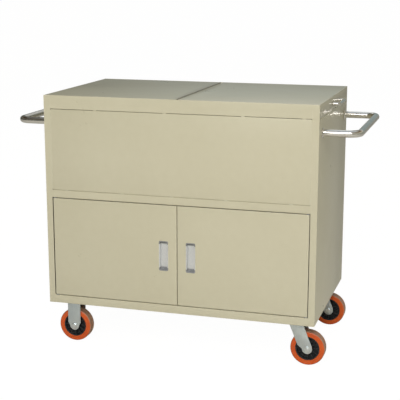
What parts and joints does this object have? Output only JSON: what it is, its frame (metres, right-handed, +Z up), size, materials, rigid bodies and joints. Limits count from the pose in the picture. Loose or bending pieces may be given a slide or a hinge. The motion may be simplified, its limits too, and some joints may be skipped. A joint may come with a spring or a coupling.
{
  "type": "housekeeping cart",
  "caption": "Closed sheet-steel service cart with lift-up top lids over a bin, a two-door cupboard, tubular push handles at the ends and plate casters.",
  "frame": {"origin": "on the floor under the middle of the cart, midway between its ends and between its front and back", "axes": "+X along the cart's length towards the swivel casters' end, -Y out of the door side, +Z up"},
  "size_m": [1.276, 0.6024, 0.9438],
  "materials": {
    "cabinet_paint": "beige powder coat, semi-gloss",
    "zinc_plate": "bright zinc plate, satin",
    "stainless_tube": "polished stainless steel",
    "orange_polyurethane": "cast polyurethane, satin",
    "black_nylon": "moulded glass-filled nylon",
    "pull_aluminium": "satin anodised",
    "grey_plastic": "fine moulded texture",
    "bearing_steel": "ground steel"
  },
  "bodies": {
    "cabinet": {"front_frame": "cabinet_paint", "left_side_panel": "cabinet_paint", "right_side_panel": "cabinet_paint", "back_panel": "cabinet_paint", "floor_pan": "cabinet_paint", "middle_deck": "cabinet_paint", "upper_front_panel": "cabinet_paint", "front_panel_screws": "zinc_plate", "back_panel_rivets": "zinc_plate", "lid_centre_beam": "cabinet_paint", "beam_hinge_leaf": "zinc_plate", "lid_hinge_pin": "zinc_plate", "left_caster_channel": "cabinet_paint", "right_caster_channel": "cabinet_paint", "left_push_handle": "stainless_tube", "right_push_handle": "stainless_tube", "handle_flanges": "stainless_tube", "handle_bolts": "zinc_plate", "door_pivot_pins": "zinc_plate", "door_catches": "grey_plastic", "caster_bolts": "zinc_plate", "left_axle_bolts": "zinc_plate", "front_left_bracket": "zinc_plate", "rear_left_bracket": "zinc_plate", "front_right_plate": "zinc_plate", "rear_right_plate": "zinc_plate", "front_right_king_pin": "zinc_plate", "rear_right_king_pin": "zinc_plate"},
    "left_door": {"left_door": "cabinet_paint", "left_door_pull": "pull_aluminium", "left_pull_end_caps": "grey_plastic", "left_door_bushes": "grey_plastic"},
    "right_door": {"right_door": "cabinet_paint", "right_door_pull": "pull_aluminium", "right_pull_end_caps": "grey_plastic", "right_door_bushes": "grey_plastic"},
    "left_lid": {"left_lid": "cabinet_paint", "left_lid_hinge_leaf": "zinc_plate", "left_lid_pull": "stainless_tube", "left_lid_pull_screws": "zinc_plate"},
    "right_lid": {"right_lid": "cabinet_paint", "right_lid_hinge_leaf": "zinc_plate", "right_lid_pull": "stainless_tube", "right_lid_pull_screws": "zinc_plate"},
    "front_right_swivel_fork": {"front_right_fork": "zinc_plate", "front_right_axle_bolt": "zinc_plate"},
    "rear_right_swivel_fork": {"rear_right_fork": "zinc_plate", "rear_right_axle_bolt": "zinc_plate"},
    "front_left_wheel": {"front_left_hub": "black_nylon", "front_left_tyre": "orange_polyurethane", "front_left_bearings": "bearing_steel"},
    "front_right_wheel": {"front_right_hub": "black_nylon", "front_right_tyre": "orange_polyurethane", "front_right_bearings": "bearing_steel"},
    "rear_left_wheel": {"rear_left_hub": "black_nylon", "rear_left_tyre": "orange_polyurethane", "rear_left_bearings": "bearing_steel"},
    "rear_right_wheel": {"rear_right_hub": "black_nylon", "rear_right_tyre": "orange_polyurethane", "rear_right_bearings": "bearing_steel"}
  },
  "joints": [
    {"name": "left_door_hinge", "type": "hinge", "parent": "cabinet", "child": "left_door", "pos_m": [-0.468, -0.294, 0.3805], "axis": [0, 0, -1], "range_deg": [0, 105]},
    {"name": "right_door_hinge", "type": "hinge", "parent": "cabinet", "child": "right_door", "pos_m": [0.468, -0.294, 0.3805], "axis": [0, 0, 1], "range_deg": [0, 105]},
    {"name": "left_lid_hinge", "type": "hinge", "parent": "cabinet", "child": "left_lid", "pos_m": [0, 0, 0.9405], "axis": [0, 1, 0], "range_deg": [0, 90]},
    {"name": "right_lid_hinge", "type": "hinge", "parent": "cabinet", "child": "right_lid", "pos_m": [0, 0, 0.9405], "axis": [0, -1, 0], "range_deg": [0, 90]},
    {"name": "front_right_swivel", "type": "hinge", "parent": "cabinet", "child": "front_right_swivel_fork", "pos_m": [0.425, -0.225, 0.155], "axis": [0, 0, 1], "continuous": true},
    {"name": "rear_right_swivel", "type": "hinge", "parent": "cabinet", "child": "rear_right_swivel_fork", "pos_m": [0.425, 0.225, 0.155], "axis": [0, 0, 1], "continuous": true},
    {"name": "front_left_wheel_spin", "type": "hinge", "parent": "cabinet", "child": "front_left_wheel", "pos_m": [-0.425, -0.225, 0.0625], "axis": [0, 1, 0], "continuous": true},
    {"name": "front_right_wheel_spin", "type": "hinge", "parent": "front_right_swivel_fork", "child": "front_right_wheel", "pos_m": [0.467, -0.225, 0.0625], "axis": [0, 1, 0], "continuous": true},
    {"name": "rear_left_wheel_spin", "type": "hinge", "parent": "cabinet", "child": "rear_left_wheel", "pos_m": [-0.425, 0.225, 0.0625], "axis": [0, 1, 0], "continuous": true},
    {"name": "rear_right_wheel_spin", "type": "hinge", "parent": "rear_right_swivel_fork", "child": "rear_right_wheel", "pos_m": [0.467, 0.225, 0.0625], "axis": [0, 1, 0], "continuous": true}
  ]
}
